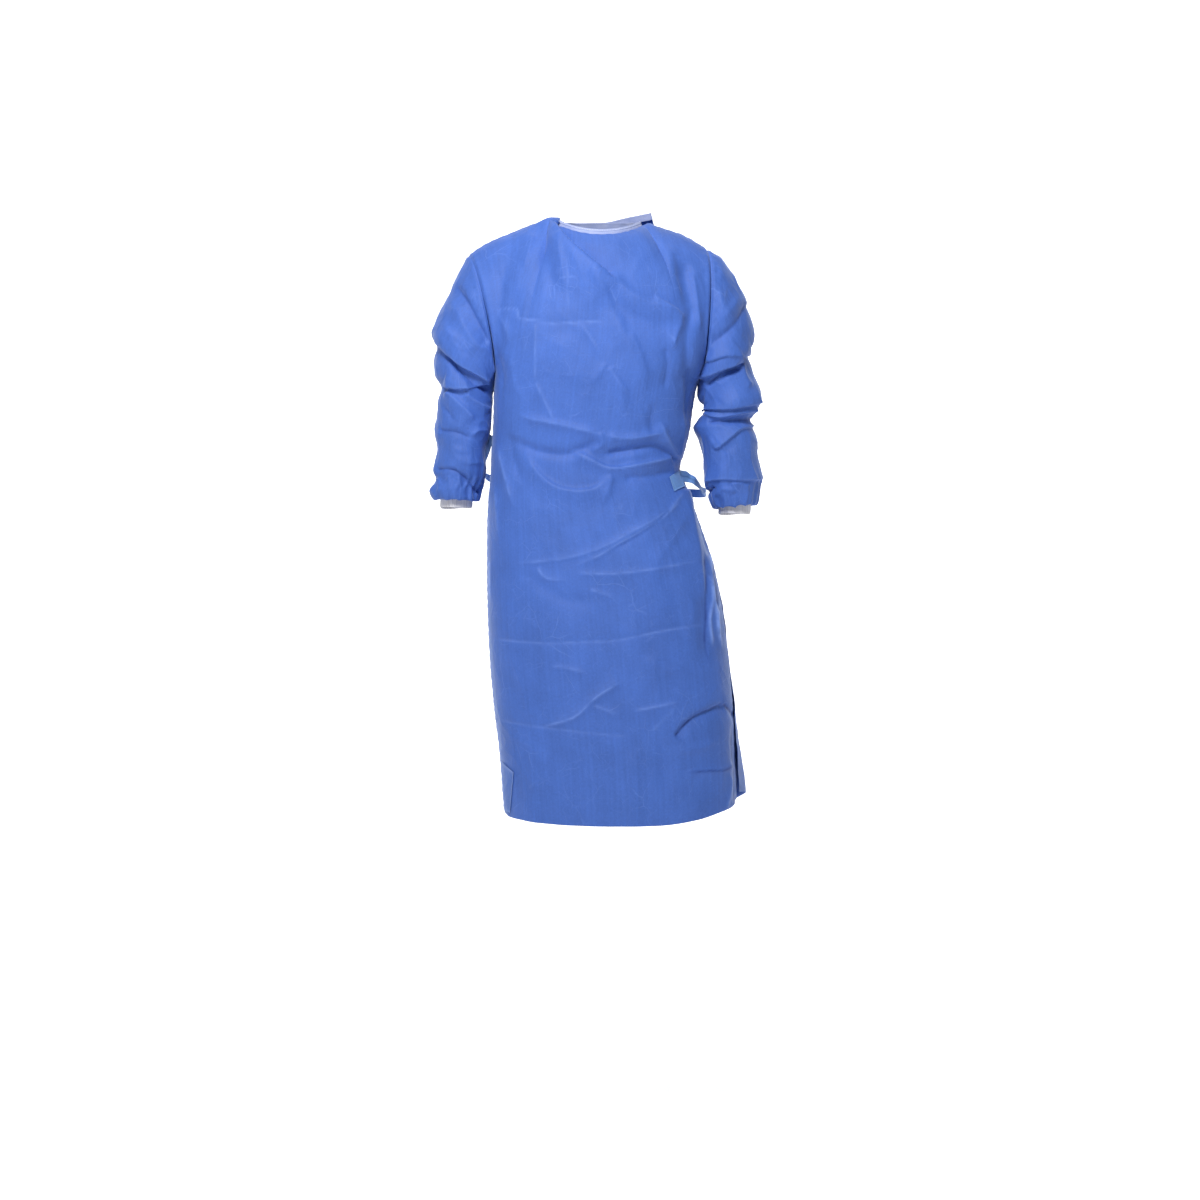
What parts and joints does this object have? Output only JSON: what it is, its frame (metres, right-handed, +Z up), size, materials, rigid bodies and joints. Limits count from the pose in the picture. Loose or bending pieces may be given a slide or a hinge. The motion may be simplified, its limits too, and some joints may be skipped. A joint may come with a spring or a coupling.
{
  "type": "surgical gown",
  "caption": "Worn wrap-around surgical gown with long sleeves, knitted cuffs, a bound neck, an overlapping open back and waist ties.",
  "frame": {"origin": "middle of the neck, level with the base of the neckline, where the wearer's neck and shoulders carry the gown", "axes": "+Z up along the standing wearer, +X to the wearer's left, -Y the way the wearer faces"},
  "size_m": [0.597, 0.3225, 1.0965],
  "materials": {
    "gown_cloth": "blue nonwoven cloth with a fine bonded grain",
    "binding": "pale grey-violet folded tape",
    "knit": "white ribbed knit",
    "tie": "light blue nonwoven cloth, folded",
    "pale_cloth": "blue nonwoven cloth with its paler back showing"
  },
  "bodies": {
    "root": {"front": "gown_cloth", "back_wing": "gown_cloth", "back_underwing": "gown_cloth", "sleeve_right": "gown_cloth", "sleeve_left": "gown_cloth", "neck_binding": "binding", "cuff_right": "knit", "cuff_left": "knit", "tie_patch": "tie", "tie_left": "tie", "tie_right": "tie", "tie_knot": "tie", "tie_tail_left": "tie", "tie_tail_right": "tie", "hem_corner": "pale_cloth"}
  },
  "joints": []
}
